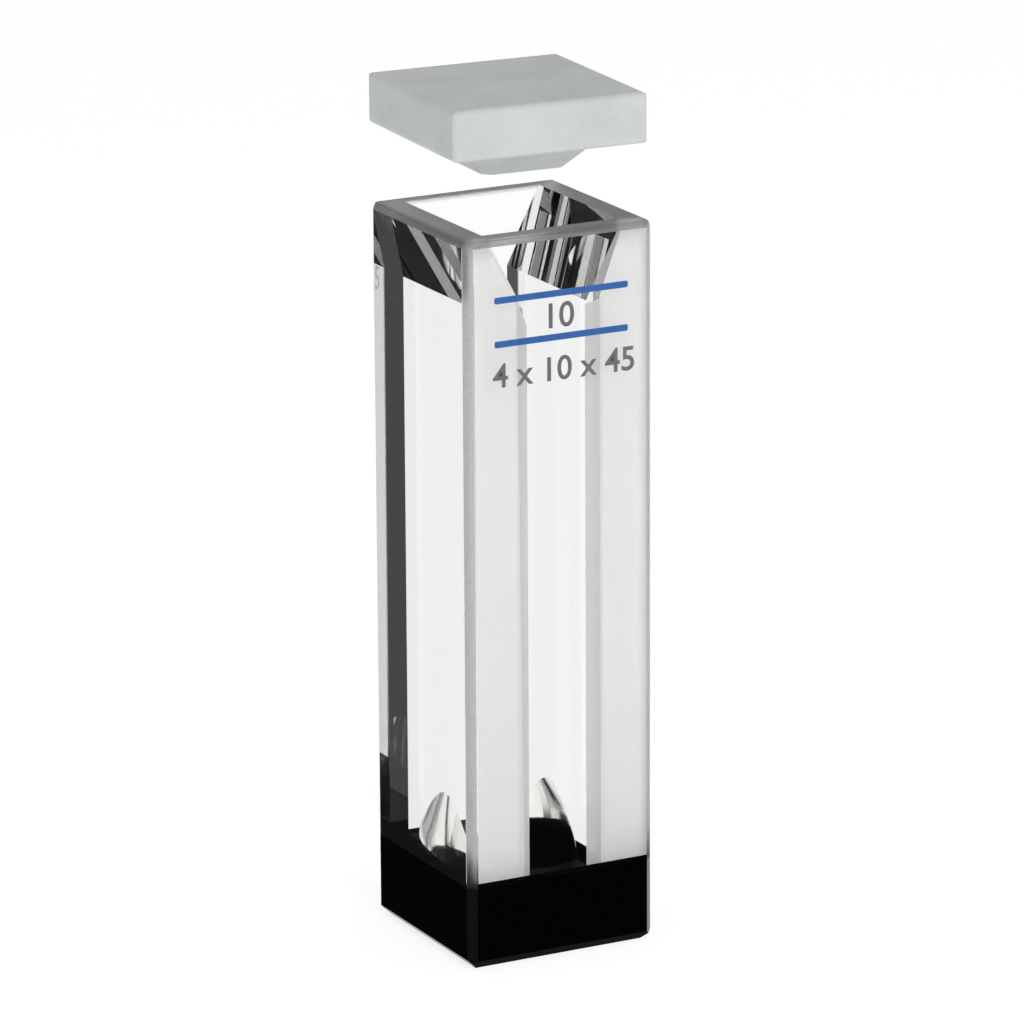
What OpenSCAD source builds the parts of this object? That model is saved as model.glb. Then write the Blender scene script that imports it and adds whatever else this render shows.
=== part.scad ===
// Stirring cell for spectroscopy: four clear plates fused round a narrow chamber,
// a black foot with a round recess for a stirring bead, and a loose drop-in lid.
// The origin is at the middle of the foot, on the surface that the cell stands on.
// The polished windows face front (-Y) and rear (+Y); the light path runs along Y.

/* [Cell] */
// Outside width, across the two side walls
cell_w = 12.5; // [12:0.1:14]
// Outside depth, across the two polished windows
cell_d = 12.5; // [12:0.1:14]
// Height from the table to the rim
cell_h = 45; // [36:0.5:60]
// Ground bevel on the four upright edges
edge_bevel = 0.45; // [0.1:0.05:0.6]
// Ground bevel round the rim
rim_bevel = 0.3; // [0.1:0.05:0.6]
// Ground bevel round the bottom
foot_bevel = 0.6; // [0.1:0.05:0.8]

/* [Chamber] */
// Width of the chamber between the side walls
chamber_w = 4.2; // [3:0.1:5.6]
// Thickness of each polished window
window_t = 1.25; // [1:0.05:1.6]
// Width of the filling funnel at the rim
funnel_w = 9.1; // [7:0.1:10]
// Depth of the filling funnel
funnel_h = 4.6; // [3:0.1:8]

/* [Foot] */
// Height of the black foot
foot_h = 5.2; // [4.5:0.1:8]
// Diameter of the stirring recess where the foot meets the walls
recess_d = 8.4; // [7:0.1:9.4]
// Depth of the recess in the foot
recess_depth = 3; // [1.8:0.1:3.6]
// Radius between the floor of the recess and its side
recess_floor_r = 1.4; // [0.4:0.1:1.7]
// Radius of the shoulder where the recess closes in above the foot
shoulder_r = 2.9; // [1:0.1:3.4]
// Full angle of the pointed top of the recess
tip_angle = 66; // [50:1:90]

/* [Lid] */
// Gap from the sides of the lid slab to the sides of the cell, seen from above
lid_inset = 0; // [0:0.05:0.4]
// Thickness of the lid slab
lid_t = 3.1; // [2:0.1:5]
// Radius of the lid's upright corners
lid_corner_r = 0.3; // [0.3:0.05:1.4]
// Radius that breaks the lid's top and bottom edges
lid_edge_r = 0.35; // [0.1:0.05:0.9]
// Gap between the plug and the funnel's long edges, when the lid is on
plug_gap = 0.25; // [0.1:0.05:0.6]
// Gap between the plug and the windows, when the lid is on
plug_end_gap = 0.7; // [0.2:0.05:1]
// Depth of the plug
plug_h = 1.75; // [0.8:0.05:2.5]
// Lean of the plug's sides from upright
plug_lean = 42; // [20:1:45]
// Cut across the plug's corners
plug_corner = 0.35; // [0.1:0.05:0.6]
// Height of the lifted slab above the rim
lid_lift = 4.75; // [3:0.05:12]
// Turn of the lifted lid about the upright axis
lid_turn = -3; // [-10:0.5:10]
// Sideways place of the lifted lid
lid_x = -0.35; // [-1:0.05:1]
// Fore-and-aft place of the lifted lid
lid_y = -0.25; // [-1:0.05:1]

/* [Hidden] */
$fn = 96;
over = 1; // how far a cutter reaches past what it cuts
chamber_d = cell_d - 2 * window_t;
wall_w = (cell_w - chamber_w) / 2;
clear_h = cell_h - foot_h;
funnel_foot = cell_h - funnel_h;
recess_r = recess_d / 2;
tip_lean = tip_angle / 2;
shoulder_h = shoulder_r * sin(tip_lean);
tip_r = recess_r - shoulder_r * (1 - cos(tip_lean));
tip_h = tip_r / tan(tip_lean);
lid_w = cell_w - 2 * lid_inset;
lid_d = cell_d - 2 * lid_inset;
plug_w = funnel_w - 2 * plug_gap;
plug_d = chamber_d - 2 * plug_end_gap;
plug_in = plug_h * tan(plug_lean);
glass = [0.94, 0.97, 0.98, 0.45];
wall_glass = [0.86, 0.88, 0.88, 0.7];

// Square outline with its corners cut off at 45 degrees
module cut_square(w, d, c)
    polygon([
        [-w / 2 + c, -d / 2], [w / 2 - c, -d / 2], [w / 2, -d / 2 + c], [w / 2, d / 2 - c],
        [w / 2 - c, d / 2], [-w / 2 + c, d / 2], [-w / 2, d / 2 - c], [-w / 2, -d / 2 + c]
    ]);

// Rectangle with round corners
module round_rect(w, d, r) {
    square([w - 2 * r, d], center = true);
    square([w, d - 2 * r], center = true);
    for (x = [-1, 1], y = [-1, 1])
        translate([x * (w / 2 - r), y * (d / 2 - r)]) circle(r);
}

// Upright outline of the cell, with the bevels at its foot and rim
module side_outline(w)
    polygon([
        [-w / 2 + foot_bevel, 0], [w / 2 - foot_bevel, 0],
        [w / 2, foot_bevel], [w / 2, cell_h - rim_bevel],
        [w / 2 - rim_bevel, cell_h], [-w / 2 + rim_bevel, cell_h],
        [-w / 2, cell_h - rim_bevel], [-w / 2, foot_bevel]
    ]);

// The outside of the whole cell, ground after its pieces are fused
module ground_outline()
    intersection() {
        linear_extrude(cell_h) cut_square(cell_w, cell_d, edge_bevel);
        rotate([90, 0, 0]) linear_extrude(cell_d, center = true) side_outline(cell_w);
        rotate([90, 0, 90]) linear_extrude(cell_w, center = true) side_outline(cell_d);
    }

// The V that opens the chamber to the rim
module funnel()
    rotate([90, 0, 0]) linear_extrude(chamber_d + 2 * over, center = true)
        polygon([
            [-chamber_w / 2, funnel_foot], [chamber_w / 2, funnel_foot],
            [funnel_w / 2, cell_h], [funnel_w / 2, cell_h + over],
            [-funnel_w / 2, cell_h + over], [-funnel_w / 2, cell_h]
        ]);

// Half outline of the space above the foot: a round shoulder that runs into a pointed top
module recess_top_outline() {
    intersection() {
        translate([recess_r - shoulder_r, 0]) circle(shoulder_r);
        translate([0, -over]) square([recess_r + over, shoulder_h + over]);
    }
    polygon([[0, shoulder_h], [tip_r, shoulder_h], [0, shoulder_h + tip_h]]);
}

// Pointed round space that widens the chamber above the foot, as its cutter leaves it
module recess_top()
    translate([0, 0, foot_h]) rotate_extrude() recess_top_outline();

// Round space in the foot, with a rounded floor
module recess_bottom()
    rotate_extrude() translate([0, foot_h - recess_depth]) {
        square([recess_r - recess_floor_r, recess_depth + over]);
        translate([0, recess_floor_r]) square([recess_r, recess_depth - recess_floor_r + over]);
        translate([recess_r - recess_floor_r, recess_floor_r]) circle(recess_floor_r);
    }

module window(side)
    intersection() {
        ground_outline();
        translate([-cell_w / 2, side * (cell_d - window_t) / 2 - window_t / 2, foot_h])
            cube([cell_w, window_t, clear_h]);
    }

module wall(side)
    difference() {
        intersection() {
            ground_outline();
            translate([side > 0 ? chamber_w / 2 : -cell_w / 2, -chamber_d / 2, foot_h])
                cube([wall_w, chamber_d, clear_h]);
        }
        funnel();
        recess_top();
    }

module front_window() color(glass) window(-1);
module rear_window() color(glass) window(1);
module left_wall() color(wall_glass) wall(-1);
module right_wall() color(wall_glass) wall(1);

module base_block()
    color([0.02, 0.02, 0.025]) difference() {
        intersection() {
            ground_outline();
            translate([-cell_w / 2, -cell_d / 2, 0]) cube([cell_w, cell_d, foot_h]);
        }
        recess_bottom();
    }

// Slab of the lid, with every edge rounded
module lid_slab()
    intersection() {
        linear_extrude(lid_t) round_rect(lid_w, lid_d, lid_corner_r);
        translate([0, 0, lid_t / 2]) rotate([90, 0, 0])
            linear_extrude(lid_d, center = true) round_rect(lid_w, lid_t, lid_edge_r);
        translate([0, 0, lid_t / 2]) rotate([90, 0, 90])
            linear_extrude(lid_w, center = true) round_rect(lid_d, lid_t, lid_edge_r);
    }

// Side outline of the plug, which hangs below the slab
module plug_outline(w)
    polygon([[-w / 2, 0], [w / 2, 0], [w / 2 - plug_in, -plug_h], [-w / 2 + plug_in, -plug_h]]);

// Leaning plug, with its corners cut back by a cone that runs parallel to them
module lid_plug() {
    half_diagonal = norm([plug_w, plug_d]) / 2 - plug_corner;
    intersection() {
        rotate([90, 0, 0]) linear_extrude(plug_d, center = true) plug_outline(plug_w);
        rotate([90, 0, 90]) linear_extrude(plug_w, center = true) plug_outline(plug_d);
        translate([0, 0, -plug_h])
            cylinder(h = plug_h, r1 = half_diagonal - plug_in * sqrt(2), r2 = half_diagonal);
    }
}

module lid()
    color([0.78, 0.81, 0.82])
        translate([lid_x, lid_y, cell_h + lid_lift]) rotate([0, 0, lid_turn]) {
            lid_slab();
            lid_plug();
        }

front_window();
rear_window();
left_wall();
right_wall();
base_block();
lid();
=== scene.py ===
import math

import bpy
from mathutils import Matrix, Vector


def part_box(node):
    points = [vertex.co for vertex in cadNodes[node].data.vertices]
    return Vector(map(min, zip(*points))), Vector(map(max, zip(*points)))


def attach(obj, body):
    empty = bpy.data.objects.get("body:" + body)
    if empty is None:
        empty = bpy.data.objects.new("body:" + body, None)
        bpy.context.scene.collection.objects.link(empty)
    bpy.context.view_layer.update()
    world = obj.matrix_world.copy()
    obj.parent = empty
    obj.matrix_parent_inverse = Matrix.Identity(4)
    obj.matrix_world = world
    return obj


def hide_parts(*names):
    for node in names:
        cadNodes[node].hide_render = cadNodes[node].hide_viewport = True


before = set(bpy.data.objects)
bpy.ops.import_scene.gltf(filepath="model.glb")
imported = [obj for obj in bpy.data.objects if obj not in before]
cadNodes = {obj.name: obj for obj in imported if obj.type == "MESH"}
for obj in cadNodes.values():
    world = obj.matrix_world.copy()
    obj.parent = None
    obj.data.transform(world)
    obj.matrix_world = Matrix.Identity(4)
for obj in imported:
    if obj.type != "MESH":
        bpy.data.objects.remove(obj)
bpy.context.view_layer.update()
mm = 0.001

# places that the pieces share, read from the frame
windowLow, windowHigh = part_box("front_window")
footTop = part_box("base_block")[1].z
rimHeight = windowHigh.z
frontFace = windowLow.y                 # outer face of the front window
frontSeam = windowHigh.y                # where the front window meets the side walls
halfWidth = windowHigh.x
halfDepth = -frontFace
mergeReach = 1e-7                       # points nearer than this are one point


# small helpers

def deselectAll():
    if bpy.context.object and bpy.context.object.mode != "OBJECT":
        bpy.ops.object.mode_set(mode="OBJECT")
    bpy.ops.object.select_all(action="DESELECT")


def makeActive(piece):
    deselectAll()
    piece.select_set(True)
    bpy.context.view_layer.objects.active = piece


def placeIntoMesh(piece):
    makeActive(piece)
    bpy.ops.object.transform_apply(location=True, rotation=True, scale=True)


def editAll():
    bpy.ops.object.mode_set(mode="EDIT")
    bpy.ops.mesh.select_all(action="SELECT")


def turnOutward():                      # and leave edit mode
    bpy.ops.mesh.normals_make_consistent(inside=False)
    bpy.ops.object.mode_set(mode="OBJECT")


def mergedCopy(nodeName, pieceName):
    piece = bpy.data.objects.new(pieceName, cadNodes[nodeName].data.copy())
    bpy.context.scene.collection.objects.link(piece)
    makeActive(piece)
    editAll()
    bpy.ops.mesh.remove_doubles(threshold=mergeReach)
    bpy.ops.mesh.customdata_custom_splitnormals_clear()
    bpy.ops.object.mode_set(mode="OBJECT")
    return piece


def applyBoolean(piece, other, operation):
    makeActive(piece)
    step = piece.modifiers.new(operation.lower(), "BOOLEAN")
    step.operation = operation
    step.solver = "EXACT"
    step.object = other
    bpy.ops.object.modifier_apply(modifier=step.name)
    bpy.data.objects.remove(other)


def addPlate(name, left, right, low, high, y):      # upright and facing front; y in metres, the rest in millimetres
    deselectAll()
    bpy.ops.mesh.primitive_plane_add(size=1, location=((left + right) / 2 * mm, y, (low + high) / 2 * mm),
                                     rotation=(math.pi / 2, 0, 0))
    piece = bpy.context.object
    piece.name = name
    piece.scale = ((right - left) * mm, (high - low) * mm, 1)
    placeIntoMesh(piece)
    return piece


def thicken(piece, thickness):
    body = piece.modifiers.new("body", "SOLIDIFY")
    body.thickness = thickness
    bpy.ops.object.modifier_apply(modifier=body.name)
    editAll()
    turnOutward()


def newMaterial(name, **sockets):
    material = bpy.data.materials.new(name)
    material.use_nodes = True
    shader = material.node_tree.nodes["Principled BSDF"]
    for socket, value in sockets.items():
        shader.inputs[socket.replace("_", " ")].default_value = value
    return material, material.node_tree, shader


def emptyMaterial(name):
    material = bpy.data.materials.new(name)
    material.use_nodes = True
    material.node_tree.nodes.clear()
    return material, material.node_tree


def giveMaterials(piece, *materials):
    piece.data.materials.clear()
    for material in materials:
        piece.data.materials.append(material)


# shared effects

speckleNoise = {"grain": 4000.0, "detail": 5, "roughness": 0.6,
                "lowest": 0.3, "highest": 0.7}      # the noise hardly leaves this span
atLeastOne, atLeastTwo = 0.5, 1.5       # a ray's count above this means so many meetings


def makeSpeckle():
    group = bpy.data.node_groups.new("speckle", "ShaderNodeTree")
    socket = group.interface.new_socket
    for name, value in (("Grain per metre", speckleNoise["grain"]), ("Low", 0.0), ("High", 1.0)):
        socket(name=name, in_out="INPUT", socket_type="NodeSocketFloat").default_value = value
    socket(name="Value", in_out="OUTPUT", socket_type="NodeSocketFloat")
    add, link = group.nodes.new, group.links.new
    given, result = add("NodeGroupInput"), add("NodeGroupOutput")
    place, grain, spread = add("ShaderNodeTexCoord"), add("ShaderNodeTexNoise"), add("ShaderNodeMapRange")
    grain.inputs["Detail"].default_value = speckleNoise["detail"]
    grain.inputs["Roughness"].default_value = speckleNoise["roughness"]
    spread.inputs["From Min"].default_value = speckleNoise["lowest"]
    spread.inputs["From Max"].default_value = speckleNoise["highest"]
    link(place.outputs["Object"], grain.inputs["Vector"])
    link(given.outputs["Grain per metre"], grain.inputs["Scale"])
    link(grain.outputs["Fac"], spread.inputs["Value"])
    link(given.outputs["Low"], spread.inputs["To Min"])
    link(given.outputs["High"], spread.inputs["To Max"])
    link(spread.outputs["Result"], result.inputs["Value"])
    return group


speckle = makeSpeckle()


def addSpeckle(tree, grain, low=0.0, high=1.0):
    node = tree.nodes.new("ShaderNodeGroup")
    node.node_tree = speckle
    node.inputs["Grain per metre"].default_value = grain
    node.inputs["Low"].default_value = low
    node.inputs["High"].default_value = high
    return node.outputs["Value"]


def calculate(tree, operation, *values, clamped=False):     # a number is set, a socket is linked
    node = tree.nodes.new("ShaderNodeMath")
    node.operation = operation
    node.use_clamp = clamped
    for socket, value in zip(node.inputs, values):
        if isinstance(value, float):
            socket.default_value = value
        else:
            tree.links.new(value, socket)
    return node.outputs[0]


def spreadValue(tree, value, fromMin, fromMax, toMin, toMax, curve="LINEAR"):
    node = tree.nodes.new("ShaderNodeMapRange")
    node.interpolation_type = curve
    for socket, number in zip(("From Min", "From Max", "To Min", "To Max"), (fromMin, fromMax, toMin, toMax)):
        node.inputs[socket].default_value = number
    tree.links.new(value, node.inputs["Value"])
    return node.outputs["Result"]


def mixColours(tree, factor, first, second):        # a colour is set, a socket is linked
    node = tree.nodes.new("ShaderNodeMix")
    node.data_type = "RGBA"
    tree.links.new(factor, node.inputs["Factor"])
    for name, colour in (("A", first), ("B", second)):
        if isinstance(colour, tuple):
            node.inputs[name].default_value = (*colour, 1)
        else:
            tree.links.new(colour, node.inputs[name])
    return node.outputs["Result"]


def mixShaders(tree, factor, first, second):
    node = tree.nodes.new("ShaderNodeMixShader")
    tree.links.new(factor, node.inputs["Fac"])
    tree.links.new(first.outputs[0], node.inputs[1])
    tree.links.new(second.outputs[0], node.inputs[2])
    return node


def addBump(tree, shader, grain, strength, depth):
    bump = tree.nodes.new("ShaderNodeBump")
    bump.inputs["Strength"].default_value = strength
    bump.inputs["Distance"].default_value = depth
    tree.links.new(addSpeckle(tree, grain), bump.inputs["Height"])
    tree.links.new(bump.outputs["Normal"], shader.inputs["Normal"])


def readPlace(tree):                    # X, Y and Z of a point on the piece
    place, parts = tree.nodes.new("ShaderNodeTexCoord"), tree.nodes.new("ShaderNodeSeparateXYZ")
    tree.links.new(place.outputs["Object"], parts.inputs[0])
    return parts.outputs


def readRay(tree, name):
    return tree.nodes.new("ShaderNodeLightPath").outputs[name]


# the clear cell

quartz = {"ior": 1.4585,
          "gloss": (0.3, 0.3, 0.3, 1),                  # mirror seen square on, weaker than real quartz has
          "lightPassed": 0.97,                          # share of the lamp's light that clear glass lets by
          "hazeDark": (0.995, 0.996, 0.996), "hazeGrain": 260,
          # ground faces
          # painted shade and light on the ground faces: darker grey tones seen from outside, lighter blue and tan
          # ones seen from inside the glass; the speckle in each is grain
          "bevelTonesWithPaintedShade": ((0.33, 0.34, 0.34), (0.47, 0.48, 0.48)),
          # painted shade: the rim has the bevels' finish in darker tones
          "rimTonesWithPaintedShade": ((0.21, 0.22, 0.225), (0.31, 0.32, 0.325)), "groundGrain": 7000,
          # painted light: the lighter blue and tan tones the ground faces show from inside the glass
          "insidePaintedLightBlue": (0.78, 0.85, 0.9), "insidePaintedLightTan": (0.94, 0.87, 0.76), "insideGrain": 160,
          "groundTransmission": 0.85, "groundRoughness": 0.5, "groundUneven": 0.08, "groundSmear": 5200,
          "groundBump": (9000, 0.25, 0.02 * mm),        # grain, strength, depth
          "paintedShadeHeight": 2.8 * mm, "paintedShadeTone": 0.04,   # painted shade where the foot shows through them: how high above the foot and how dark the faces are darkened
          # stirring recess
          "pocketTones": ((0.86, 0.84, 0.8), (0.95, 0.93, 0.89)), "pocketGrain": 1500,
          "pocketRoughness": 0.14, "pocketUneven": 0.02, "pocketSmear": 4000,
          "pocketHeight": 5.5 * mm, "pocketRadius": 4.25 * mm, "pocketFacing": 0.98,
          # joint with the foot
          "jointTones": ((0.0015, 0.0015, 0.002), (0.003, 0.003, 0.004)), "jointGrain": 500,
          # painted light: the lighter blue and tan the black joint takes for light mirrored twice or more inside the
          # walls
          "paintedLightBlue": (0.016, 0.024, 0.032), "paintedLightTan": (0.05, 0.037, 0.023), "paintedLightGrain": 700,
          "jointLift": 0.01 * mm,
          # edges
          "seamMerge": 1e-6, "flatAngle": 0.3, "smoothAngle": 7, "softSteps": 3,
          "cornerReach": 0.5 * mm, "cornerSoft": 0.035 * mm, "rimReach": 0.35 * mm, "rimSoft": 0.13 * mm,
          # how the finishes are told apart: how far in they reach, and how square a face stands
          "groundReach": 0.7 * mm, "levelReach": 0.05 * mm,
          "flat": 0.99, "square": 0.999, "steep": 0.5, "tilted": 0.02}


def letLightIn(tree, shader):           # or the joint inside would lie in the dark
    held = spreadValue(tree, readRay(tree, "Is Shadow Ray"), 0.0, 1.0, 1.0, 1.0 - quartz["lightPassed"])
    tree.links.new(held, shader.inputs["Alpha"])


def makePolishedQuartz():
    material, tree, shader = newMaterial("polishedQuartz", Roughness=0.0, IOR=quartz["ior"],
                                         Transmission_Weight=1.0, Specular_Tint=quartz["gloss"])
    haze = mixColours(tree, addSpeckle(tree, quartz["hazeGrain"]), quartz["hazeDark"], (1, 1, 1))
    tree.links.new(haze, shader.inputs["Base Color"])
    letLightIn(tree, shader)
    return material


def makeGroundQuartz(name, tones):
    material, tree, shader = newMaterial(name, IOR=quartz["ior"], Transmission_Weight=quartz["groundTransmission"])
    # painted shade and light: from outside the faces show darker grey tones, from inside the glass lighter blue and
    # tan ones
    outside = mixColours(tree, addSpeckle(tree, quartz["groundGrain"]), *tones)
    inside = mixColours(tree, addSpeckle(tree, quartz["insideGrain"]), quartz["insidePaintedLightBlue"], quartz["insidePaintedLightTan"])
    side = tree.nodes.new("ShaderNodeNewGeometry")
    tone = mixColours(tree, side.outputs["Backfacing"], outside, inside)
    # painted shade: the faces darken towards the foot, over the last few millimetres above it
    footPaintedShade = spreadValue(tree, readPlace(tree)["Z"], footTop, footTop + quartz["paintedShadeHeight"],
                        quartz["paintedShadeTone"], 1.0, "SMOOTHSTEP")
    tree.links.new(mixColours(tree, footPaintedShade, (0, 0, 0), tone), shader.inputs["Base Color"])
    rough, uneven = quartz["groundRoughness"], quartz["groundUneven"]
    tree.links.new(addSpeckle(tree, quartz["groundSmear"], rough - uneven, rough + uneven),
                   shader.inputs["Roughness"])
    addBump(tree, shader, *quartz["groundBump"])
    return material


def makeSatinPocket():
    material, tree, shader = newMaterial("satinPocket", IOR=quartz["ior"], Transmission_Weight=1.0)
    cutterMarks = mixColours(tree, addSpeckle(tree, quartz["pocketGrain"]), *quartz["pocketTones"])
    tree.links.new(cutterMarks, shader.inputs["Base Color"])
    rough, uneven = quartz["pocketRoughness"], quartz["pocketUneven"]
    tree.links.new(addSpeckle(tree, quartz["pocketSmear"], rough - uneven, rough + uneven),
                   shader.inputs["Roughness"])
    letLightIn(tree, shader)
    return material


def makeBlackJoint():                   # painted light: for light mirrored twice or more inside the walls its black turns a faint blue and tan
    material, tree, shader = newMaterial("blackJoint", Roughness=1.0, Specular_IOR_Level=0.0)
    black = mixColours(tree, addSpeckle(tree, quartz["jointGrain"]), *quartz["jointTones"])
    glow = mixColours(tree, addSpeckle(tree, quartz["paintedLightGrain"]), quartz["paintedLightBlue"], quartz["paintedLightTan"])
    late = calculate(tree, "GREATER_THAN", readRay(tree, "Glossy Depth"), atLeastTwo)
    tree.links.new(mixColours(tree, late, black, glow), shader.inputs["Base Color"])
    return material


def selectFaces(piece, wanted):
    makeActive(piece)
    bpy.ops.object.mode_set(mode="EDIT")
    bpy.ops.mesh.select_mode(type="FACE")
    bpy.ops.mesh.select_all(action="DESELECT")
    bpy.ops.object.mode_set(mode="OBJECT")
    for face in piece.data.polygons:
        face.select = wanted(face)
    bpy.ops.object.mode_set(mode="EDIT")


def isUprightCorner(first, last):
    out = [min(abs(first[axis]), abs(last[axis])) for axis in (0, 1)]
    return min(out) > halfWidth - quartz["cornerReach"] and abs(first.z - last.z) > rimHeight / 2


def isRimEdge(first, last):
    reach = quartz["rimReach"]
    out = min(max(abs(end.x), abs(end.y)) for end in (first, last))
    return out > halfWidth - reach and min(first.z, last.z) > rimHeight - reach


def softenEdges(piece, isWanted, width):        # where the ground faces meet the polished sides
    makeActive(piece)
    bpy.ops.object.mode_set(mode="EDIT")
    bpy.ops.mesh.select_mode(type="EDGE")
    bpy.ops.mesh.select_all(action="DESELECT")
    bpy.ops.object.mode_set(mode="OBJECT")
    for edge in piece.data.edges:
        edge.select = isWanted(*(piece.data.vertices[number].co for number in edge.vertices))
    bpy.ops.object.mode_set(mode="EDIT")
    bpy.ops.mesh.bevel(offset=width, segments=quartz["softSteps"], affect="EDGES")
    bpy.ops.object.mode_set(mode="OBJECT")


polished, ground, joint, pocket, paintedShadeGroundRim = range(5)       # order of the clear cell's materials


def clearCellFinish(face):
    normal, centre = face.normal, face.center
    reach, level = quartz["groundReach"], quartz["levelReach"]
    byCorner = abs(centre.x) > halfWidth - reach and abs(centre.y) > halfDepth - reach
    leaning = max(abs(normal.x), abs(normal.y)) < quartz["square"] and abs(normal.z) < quartz["steep"]
    byRim = centre.z > rimHeight - reach and max(abs(centre.x), abs(centre.y)) > halfWidth - reach
    rimTop = normal.z > quartz["flat"] and centre.z > rimHeight - level
    if normal.z < -quartz["flat"] and centre.z < footTop + level:
        return joint
    if (byRim and normal.z > quartz["tilted"]) or rimTop:
        return paintedShadeGroundRim
    if byCorner and leaning:
        return ground
    low = footTop + level < centre.z < footTop + quartz["pocketHeight"]
    inPocket = math.hypot(centre.x, centre.y) < quartz["pocketRadius"] and abs(normal.x) < quartz["pocketFacing"]
    return pocket if low and inPocket else polished


def makeClearCell():
    piece = mergedCopy("front_window", "clearCell")
    for name in ("left_wall", "right_wall", "rear_window"):
        applyBoolean(piece, mergedCopy(name, name + "Copy"), "UNION")
    makeActive(piece)
    editAll()
    bpy.ops.mesh.remove_doubles(threshold=quartz["seamMerge"])
    bpy.ops.mesh.dissolve_limited(angle_limit=math.radians(quartz["flatAngle"]))
    turnOutward()
    softenEdges(piece, isUprightCorner, quartz["cornerSoft"])
    softenEdges(piece, isRimEdge, quartz["rimSoft"])
    # the rim's material is the ground finish with darker tones, painted shade
    giveMaterials(piece, makePolishedQuartz(), makeGroundQuartz("groundQuartz", quartz["bevelTonesWithPaintedShade"]),
                  makeBlackJoint(), makeSatinPocket(), makeGroundQuartz("paintedShadeGroundRim", quartz["rimTonesWithPaintedShade"]))
    for face in piece.data.polygons:
        face.material_index = clearCellFinish(face)
    selectFaces(piece, lambda face: face.material_index == joint)
    bpy.ops.transform.translate(value=(0, 0, quartz["jointLift"]))      # clear of the foot's own top face
    bpy.ops.object.mode_set(mode="OBJECT")
    bpy.ops.object.shade_smooth_by_angle(angle=math.radians(quartz["smoothAngle"]))
    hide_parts("front_window", "rear_window", "left_wall", "right_wall")
    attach(piece, "root")
    return piece


clearCell = makeClearCell()
print("clear cell:", len(clearCell.data.polygons), "faces")


# the milky joint between the front window and the side walls

seamFilm = {"thickness": 0.004 * mm, "milkyDepth": 0.012 * mm, "paleDepth": 0.006 * mm,
            "cover": 0.8, "paleCover": 0.7, "colour": (0.965, 0.96, 0.955), "paleColour": (0.75, 0.745, 0.74),
            "cloudGrain": 420, "cloudTone": 0.985,
            "throughShare": 0.42,       # share of the film's own light that comes through from behind
            "footGap": 0.02,
            # each film in millimetres: left, right and top, then the points that its cuts run through
            "milkyJointLeft": (-5.32, -2.2, 44.7, ((-4.55, 44.7), (-2.5, 40.6)), ((-2.5, 40.6), (-2.2, 5.2))),
            "milkyJointRight": (3.03, 6.2, 44.7, ((3.03, 40.6), (4.55, 44.7))),
            "paleJointLeft": (-2.55, -1.85, 41.0, ((-2.55, 41.0), (-1.85, 39.4))),
            "paleJointRight": (2.04, 3.2, 40.4, ((2.04, 40.2), (3.2, 40.43)))}


def makeFilm(name, cover, colour):
    material, tree = emptyMaterial(name)
    add, link = tree.nodes.new, tree.links.new
    out, clear, blend = add("ShaderNodeOutputMaterial"), add("ShaderNodeBsdfTransparent"), add("ShaderNodeMixShader")
    lit, through = add("ShaderNodeBsdfDiffuse"), add("ShaderNodeBsdfTranslucent")
    milk = mixColours(tree, addSpeckle(tree, seamFilm["cloudGrain"]),
                      tuple(value * seamFilm["cloudTone"] for value in colour), colour)
    link(milk, lit.inputs["Color"])
    link(milk, through.inputs["Color"])
    blend.inputs["Fac"].default_value = seamFilm["throughShare"]
    link(lit.outputs[0], blend.inputs[1])
    link(through.outputs[0], blend.inputs[2])
    # light mirrored inside the walls doesn't meet the film
    direct = calculate(tree, "LESS_THAN", readRay(tree, "Glossy Depth"), atLeastOne)
    film = mixShaders(tree, calculate(tree, "MULTIPLY", direct, cover), clear, blend)
    link(film.outputs[0], out.inputs["Surface"])
    return material


def makeSheet(name, depth, material):
    left, right, top, *cuts = seamFilm[name]
    y = frontSeam - depth
    piece = addPlate(name, left, right, footTop / mm + seamFilm["footGap"], top, y)
    bpy.ops.object.mode_set(mode="EDIT")
    for (firstX, firstZ), (lastX, lastZ) in cuts:       # what lies above the line from first to last goes
        bpy.ops.mesh.select_all(action="SELECT")
        bpy.ops.mesh.bisect(plane_co=(firstX * mm, y, firstZ * mm),
                            plane_no=Vector((firstZ - lastZ, 0, lastX - firstX)).normalized(), clear_outer=True)
    bpy.ops.object.mode_set(mode="OBJECT")
    thicken(piece, seamFilm["thickness"])
    giveMaterials(piece, material)
    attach(piece, "root")


def makeSeamFilms():
    milky = makeFilm("milkyJoint", seamFilm["cover"], seamFilm["colour"])
    pale = makeFilm("paleJoint", seamFilm["paleCover"], seamFilm["paleColour"])
    for side in ("Left", "Right"):
        makeSheet("milkyJoint" + side, seamFilm["milkyDepth"], milky)
        makeSheet("paleJoint" + side, seamFilm["paleDepth"], pale)


makeSeamFilms()
print("seam films")


# the black foot

foot = {"body": (0.001, 0.001, 0.0012), "bevel": (0.003, 0.003, 0.0035),
        "polish": 0.08, "ground": 0.34, "smear": 0.03, "smearGrain": 700,
        "ior": 1.06,                    # a weaker mirror than real quartz
        "coatRoughness": 0.15, "bevelSize": 0.45 * mm, "bevelFade": 0.04 * mm}


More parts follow.
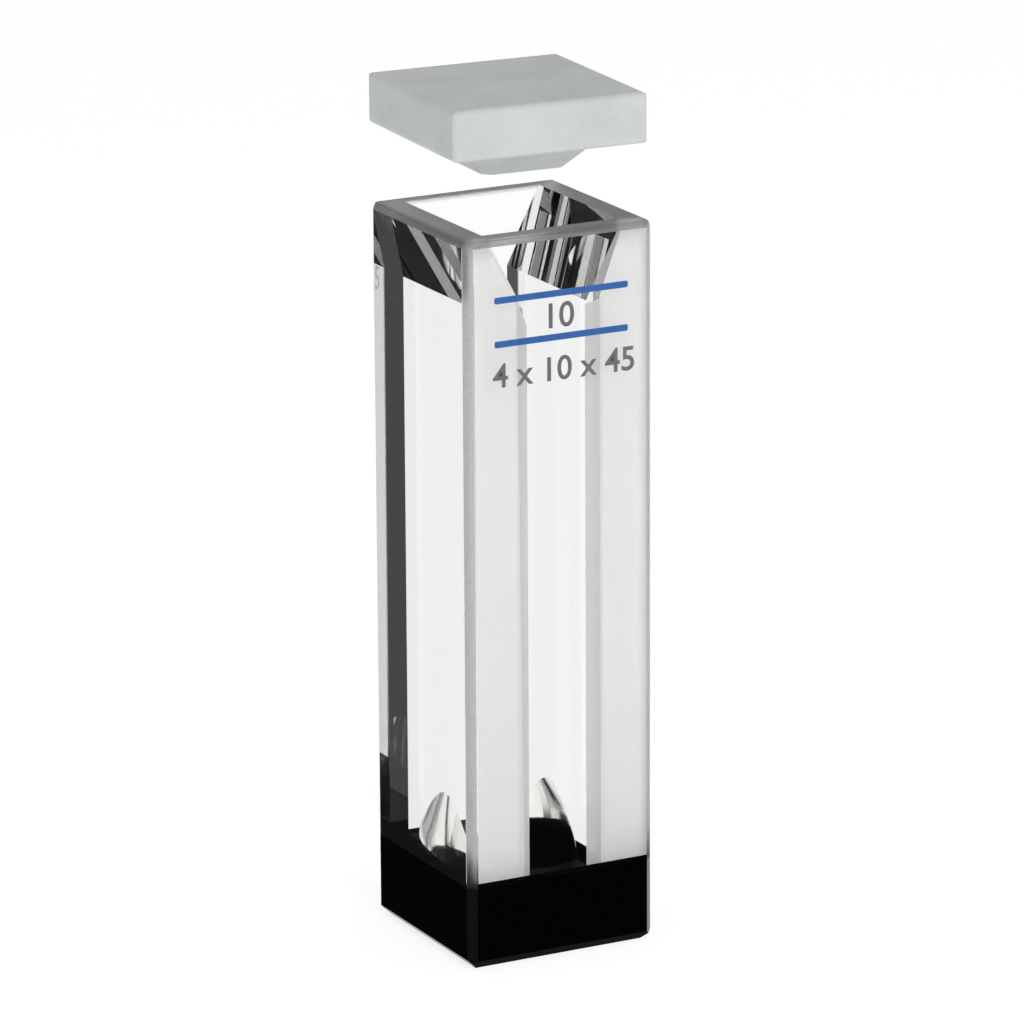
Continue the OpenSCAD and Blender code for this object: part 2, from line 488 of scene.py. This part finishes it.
def makeBlackQuartz():
    material, tree, shader = newMaterial("blackQuartz", IOR=foot["ior"], Coat_IOR=quartz["ior"],
                                         Coat_Roughness=foot["coatRoughness"])
    place = readPlace(tree)
    corner = calculate(tree, "ADD", *(calculate(tree, "ABSOLUTE", place[axis]) for axis in ("X", "Y")))
    bevelStart = halfWidth + halfDepth - foot["bevelSize"]
    bevel = spreadValue(tree, corner, bevelStart - foot["bevelFade"], bevelStart, 0.0, 1.0)
    finish = spreadValue(tree, bevel, 0.0, 1.0, foot["polish"], foot["ground"])
    smear = addSpeckle(tree, foot["smearGrain"], 0.0, foot["smear"])
    tree.links.new(mixColours(tree, bevel, foot["body"], foot["bevel"]), shader.inputs["Base Color"])
    tree.links.new(bevel, shader.inputs["Coat Weight"])
    tree.links.new(calculate(tree, "ADD", finish, smear), shader.inputs["Roughness"])
    return material


giveMaterials(cadNodes["base_block"], makeBlackQuartz())
print("black foot")


# the lid

lidPlastic = {"dark": (0.575, 0.612, 0.605), "light": (0.655, 0.683, 0.668), "cloudGrain": 300, "ior": 1.38,
              "roughness": 0.5, "uneven": 0.06, "smearGrain": 1800,
              "glow": 0.12, "glowDepth": 1.2 * mm, "glowReach": (1.0, 0.95, 0.9),    # reach of red, green and blue
              "bump": (1500, 0.12, 0.03 * mm)}          # grain, strength, depth


def makeLidPlastic():
    material, tree, shader = newMaterial("whiteLidPlastic", Subsurface_Weight=lidPlastic["glow"],
                                         Subsurface_Scale=lidPlastic["glowDepth"], IOR=lidPlastic["ior"],
                                         Subsurface_Radius=lidPlastic["glowReach"])
    cloud = mixColours(tree, addSpeckle(tree, lidPlastic["cloudGrain"]), lidPlastic["dark"], lidPlastic["light"])
    tree.links.new(cloud, shader.inputs["Base Color"])
    rough, uneven = lidPlastic["roughness"], lidPlastic["uneven"]
    tree.links.new(addSpeckle(tree, lidPlastic["smearGrain"], rough - uneven, rough + uneven),
                   shader.inputs["Roughness"])
    addBump(tree, shader, *lidPlastic["bump"])
    return material


giveMaterials(cadNodes["lid"], makeLidPlastic())
print("lid")


# the print on the front window

printedMarks = {"film": 0.012 * mm, "corner": 0.12 * mm, "cornerSteps": 4,
                "weight": 0.012, "rawDepth": 0.01, "curveSteps": 10,        # of the numerals, before they are scaled
                "blue": (0.028, 0.130, 0.430), "grey": (0.162, 0.162, 0.168),
                "darker": 0.88, "lighter": 1.1, "toneGrain": 1300, "roughness": 0.45,
                "bump": (5000, 0.15, 0.004 * mm),       # grain, strength, depth
                # millimetres: left, right, low, high
                "bands": ((-4.4, 4.5, 41.1, 41.5), (-4.4, 4.5, 38.45, 38.85)),
                "pathMark": {"words": "10", "left": -1.8, "right": 1.9, "low": 39.2, "high": 40.75},
                "sizeMark": {"words": "4 x 10 x 45", "left": -4.28, "right": 4.67, "low": 36.0, "high": 37.5}}


def makeEnamel(name, colour):
    material, tree, shader = newMaterial(name, Roughness=printedMarks["roughness"])
    tones = [tuple(value * printedMarks[change] for value in colour) for change in ("darker", "lighter")]
    tree.links.new(mixColours(tree, addSpeckle(tree, printedMarks["toneGrain"]), *tones),
                   shader.inputs["Base Color"])
    addBump(tree, shader, *printedMarks["bump"])
    # light mirrored inside the walls doesn't meet the print, and the print throws no shadow on the joint behind it
    direct = calculate(tree, "LESS_THAN", readRay(tree, "Glossy Depth"), atLeastOne)
    shown = calculate(tree, "SUBTRACT", direct, readRay(tree, "Is Shadow Ray"), clamped=True)
    tree.links.new(shown, shader.inputs["Alpha"])
    return material


def makeBand(name, left, right, low, high, material):
    film = printedMarks["film"]
    piece = addPlate(name, left, right, low, high, frontFace - film)
    editAll()
    bpy.ops.mesh.bevel(offset=printedMarks["corner"], segments=printedMarks["cornerSteps"], affect="VERTICES")
    bpy.ops.object.mode_set(mode="OBJECT")
    thicken(piece, film)
    giveMaterials(piece, material)
    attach(piece, "root")


def makeNumerals(name, mark, material):
    deselectAll()
    bpy.ops.object.text_add(rotation=(math.pi / 2, 0, 0))
    piece = bpy.context.object
    piece.name = name
    piece.data.body = mark["words"]
    piece.data.size = 1
    piece.data.extrude = printedMarks["rawDepth"]
    piece.data.resolution_u = printedMarks["curveSteps"]
    piece.data.offset = printedMarks["weight"]
    bpy.ops.object.convert(target="MESH")
    placeIntoMesh(piece)
    low, size = Vector(piece.bound_box[0]), piece.dimensions.copy()
    growth = (mark["high"] - mark["low"]) * mm / size.z     # the same for width and height, so strokes stay even
    film = printedMarks["film"]
    piece.scale = (growth, film / size.y, growth)
    piece.location = ((mark["left"] + mark["right"]) / 2 * mm - (low.x + size.x / 2) * growth,
                      frontFace - film - low.y * film / size.y, mark["low"] * mm - low.z * growth)
    placeIntoMesh(piece)
    editAll()
    bpy.ops.mesh.remove_doubles(threshold=mergeReach)
    turnOutward()
    giveMaterials(piece, material)
    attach(piece, "root")


blueEnamel = makeEnamel("blueEnamel", printedMarks["blue"])
greyEnamel = makeEnamel("greyEnamel", printedMarks["grey"])
for number, band in enumerate(printedMarks["bands"]):
    makeBand("blueBand%d" % (number + 1), *band, blueEnamel)
makeNumerals("pathNumeral", printedMarks["pathMark"], greyEnamel)
makeNumerals("sizeNumerals", printedMarks["sizeMark"], greyEnamel)
print("printed marks")


# camera

cameraAim = {"azimuth": -27.64, "elevation": 15.90, "roll": -0.337, "distance": 401.4 * mm,
             "aimHeight": 22.5 * mm, "right": -0.05 * mm, "up": 3.69 * mm,
             "focalPixels": 6654, "framePixels": 1024, "sensor": 36, "nearClip": 10 * mm}


def makeCamera():
    aim = cameraAim
    azimuth, elevation, roll = (math.radians(aim[key]) for key in ("azimuth", "elevation", "roll"))
    back = Vector((math.sin(azimuth) * math.cos(elevation), -math.cos(azimuth) * math.cos(elevation),
                   math.sin(elevation)))
    level = Vector((math.cos(azimuth), math.sin(azimuth), 0))
    upright = back.cross(level)
    right = math.cos(roll) * level + math.sin(roll) * upright
    up = math.cos(roll) * upright - math.sin(roll) * level
    spot = Vector((0, 0, aim["aimHeight"])) + right * aim["right"] + up * aim["up"] + back * aim["distance"]
    lens = bpy.data.cameras.new("camera")
    lens.sensor_width = aim["sensor"]
    lens.lens = aim["focalPixels"] / aim["framePixels"] * aim["sensor"]
    lens.clip_start = aim["nearClip"]
    camera = bpy.data.objects.new("camera", lens)
    bpy.context.scene.collection.objects.link(camera)
    camera.matrix_world = Matrix(((right.x, up.x, back.x, spot.x), (right.y, up.y, back.y, spot.y),
                                  (right.z, up.z, back.z, spot.z), (0, 0, 0, 1)))
    bpy.context.scene.camera = camera


makeCamera()
print("camera")


# floor, world and lamp

studio = {"floorSize": 6.0, "floorTone": 0.30, "floorGlow": 0.83,
          "fill": 0.42,                                             # even level round soft surfaces
          # what mirrored light meets: a lighter room behind the cell and a dark one in front
          "frontTone": 0.06, "turnLow": -0.15, "turnHigh": 0.15,
          "sweepTone": 0.85, "roomTone": 0.42, "horizonLow": -0.06, "horizonHigh": 0.12,
          # the dark cards: degrees of full tone, degrees to their edge, tone
          "cardAzimuth": -27.6, "insideCard": (5.0, 9.0, 0.45), "outsideCard": (14.0, 24.0, 0.06),
          # the table below, which light from inside the glass meets patchy
          "tableTone": 0.5, "tableStart": 0.42, "tableFull": 0.7, "plainTable": (0.8, 0.8, 0.8),
          "streakGrain": 3.0, "streakDetail": 1,
          "streaks": ((0.38, (0.16, 0.18, 0.2)), (0.47, (0.4, 0.53, 0.68)), (0.54, (0.66, 0.67, 0.66)),
                      (0.62, (0.84, 0.65, 0.44))),
          "keyPlace": (-0.08, -0.58, 0.44), "keySize": 0.36, "keyPower": 1.8,
          "bounces": 24}                                            # light runs far inside the walls


def countMet(tree, depthName):
    return calculate(tree, "GREATER_THAN", readRay(tree, depthName), atLeastOne)


def sortRays(tree):         # what a ray met before: a soft surface, or only mirror-like faces
    scattered = countMet(tree, "Diffuse Depth")
    return scattered, calculate(tree, "SUBTRACT", countMet(tree, "Glossy Depth"), scattered, clamped=True)


def makeFloor():
    deselectAll()
    bpy.ops.mesh.primitive_plane_add(size=studio["floorSize"])
    floor = bpy.context.object
    floor.name = "floor"
    material, tree = emptyMaterial("paleFloor")
    add, link = tree.nodes.new, tree.links.new
    out, soft, glow, both, clear = (add("ShaderNodeOutputMaterial"), add("ShaderNodeBsdfDiffuse"),
                                    add("ShaderNodeEmission"), add("ShaderNodeAddShader"),
                                    add("ShaderNodeBsdfTransparent"))
    tone = studio["floorTone"]
    soft.inputs["Color"].default_value = (tone, tone, tone, 1)
    glow.inputs["Strength"].default_value = studio["floorGlow"]
    link(soft.outputs[0], both.inputs[0])
    link(glow.outputs[0], both.inputs[1])
    scattered, mirrored = sortRays(tree)
    link(mixShaders(tree, mirrored, both, clear).outputs[0], out.inputs["Surface"])
    giveMaterials(floor, material)


def darkCard(tree, place, full, edge, tone):    # a dark card beside the backdrop keeps the side face clear of glare
    flat, heading, along = [tree.nodes.new("ShaderNodeVectorMath") for _ in range(3)]
    flat.operation, heading.operation, along.operation = "MULTIPLY", "NORMALIZE", "DOT_PRODUCT"
    flat.inputs[1].default_value = (1, 1, 0)
    azimuth = math.radians(studio["cardAzimuth"])
    along.inputs[1].default_value = (math.sin(azimuth), math.cos(azimuth), 0)
    tree.links.new(place, flat.inputs[0])
    tree.links.new(flat.outputs[0], heading.inputs[0])
    tree.links.new(heading.outputs[0], along.inputs[0])
    full, edge = math.cos(math.radians(full)), math.cos(math.radians(edge))
    return spreadValue(tree, along.outputs["Value"], edge, full, 1.0, tone, "SMOOTHSTEP")


def makeCards(tree, place):         # light that never went inside meets a wider and deeper card
    cards = tree.nodes.new("ShaderNodeMix")
    tree.links.new(countMet(tree, "Transmission Depth"), cards.inputs["Factor"])
    tree.links.new(darkCard(tree, place, *studio["outsideCard"]), cards.inputs["A"])
    tree.links.new(darkCard(tree, place, *studio["insideCard"]), cards.inputs["B"])
    return cards.outputs["Result"]


def makeTable(tree, place):         # plain from outside, with grey, blue and tan patches from inside the glass
    grain, ramp = tree.nodes.new("ShaderNodeTexNoise"), tree.nodes.new("ShaderNodeValToRGB")
    grain.inputs["Scale"].default_value = studio["streakGrain"]
    grain.inputs["Detail"].default_value = studio["streakDetail"]
    stops = ramp.color_ramp.elements
    first, *between, last = studio["streaks"]
    for stop, (position, colour) in ((stops[0], first), (stops[1], last)):
        stop.position, stop.color = position, (*colour, 1)
    for position, colour in between:
        stops.new(position).color = (*colour, 1)
    tree.links.new(place, grain.inputs["Vector"])
    tree.links.new(grain.outputs["Fac"], ramp.inputs["Fac"])
    return mixColours(tree, countMet(tree, "Transmission Depth"), studio["plainTable"], ramp.outputs["Color"])


def makeWorld():
    world = bpy.data.worlds.new("studioWorld")
    bpy.context.scene.world = world
    world.use_nodes = True
    tree = world.node_tree
    tree.nodes.clear()
    add, link = tree.nodes.new, tree.links.new
    out, place, parts = add("ShaderNodeOutputWorld"), add("ShaderNodeTexCoord"), add("ShaderNodeSeparateXYZ")
    white, room, table, fill = [add("ShaderNodeBackground") for _ in range(4)]
    for light in (white, room, fill):
        light.inputs["Color"].default_value = (1, 1, 1, 1)
    fill.inputs["Strength"].default_value = studio["fill"]
    table.inputs["Strength"].default_value = studio["tableTone"]
    link(place.outputs["Generated"], parts.inputs[0])
    link(makeTable(tree, place.outputs["Generated"]), table.inputs["Color"])
    turned = spreadValue(tree, parts.outputs["Y"], studio["turnLow"], studio["turnHigh"], 0.0, 1.0, "SMOOTHSTEP")
    upward = spreadValue(tree, parts.outputs["Z"], studio["horizonLow"], studio["horizonHigh"],
                         studio["sweepTone"], studio["roomTone"], "SMOOTHSTEP")
    carded = calculate(tree, "MULTIPLY", upward, makeCards(tree, place.outputs["Generated"]))
    level = calculate(tree, "MAXIMUM", calculate(tree, "MULTIPLY", carded, turned), studio["frontTone"])
    link(level, room.inputs["Strength"])
    below = spreadValue(tree, parts.outputs["Z"], -studio["tableFull"], -studio["tableStart"], 1.0, 0.0, "SMOOTHSTEP")
    scattered, mirrored = sortRays(tree)
    shine = mixShaders(tree, mirrored, white, mixShaders(tree, below, room, table))
    link(mixShaders(tree, scattered, shine, fill).outputs[0], out.inputs["Surface"])


def makeKeyLamp():
    lamp = bpy.data.lights.new("keyLamp", "AREA")
    lamp.shape = "DISK"
    lamp.size = studio["keySize"]
    lamp.energy = studio["keyPower"]
    holder = bpy.data.objects.new("keyLamp", lamp)
    bpy.context.scene.collection.objects.link(holder)
    spot = Vector(studio["keyPlace"])
    aim = Vector((0, 0, rimHeight / 2)) - spot
    holder.matrix_world = Matrix.Translation(spot) @ aim.to_track_quat("-Z", "Y").to_matrix().to_4x4()


makeFloor()
makeWorld()
makeKeyLamp()
bpy.context.scene.view_settings.view_transform = "Standard"
for limit in ("max_bounces", "glossy_bounces", "transmission_bounces"):
    setattr(bpy.context.scene.cycles, limit, studio["bounces"])
print("floor, world and lamp")
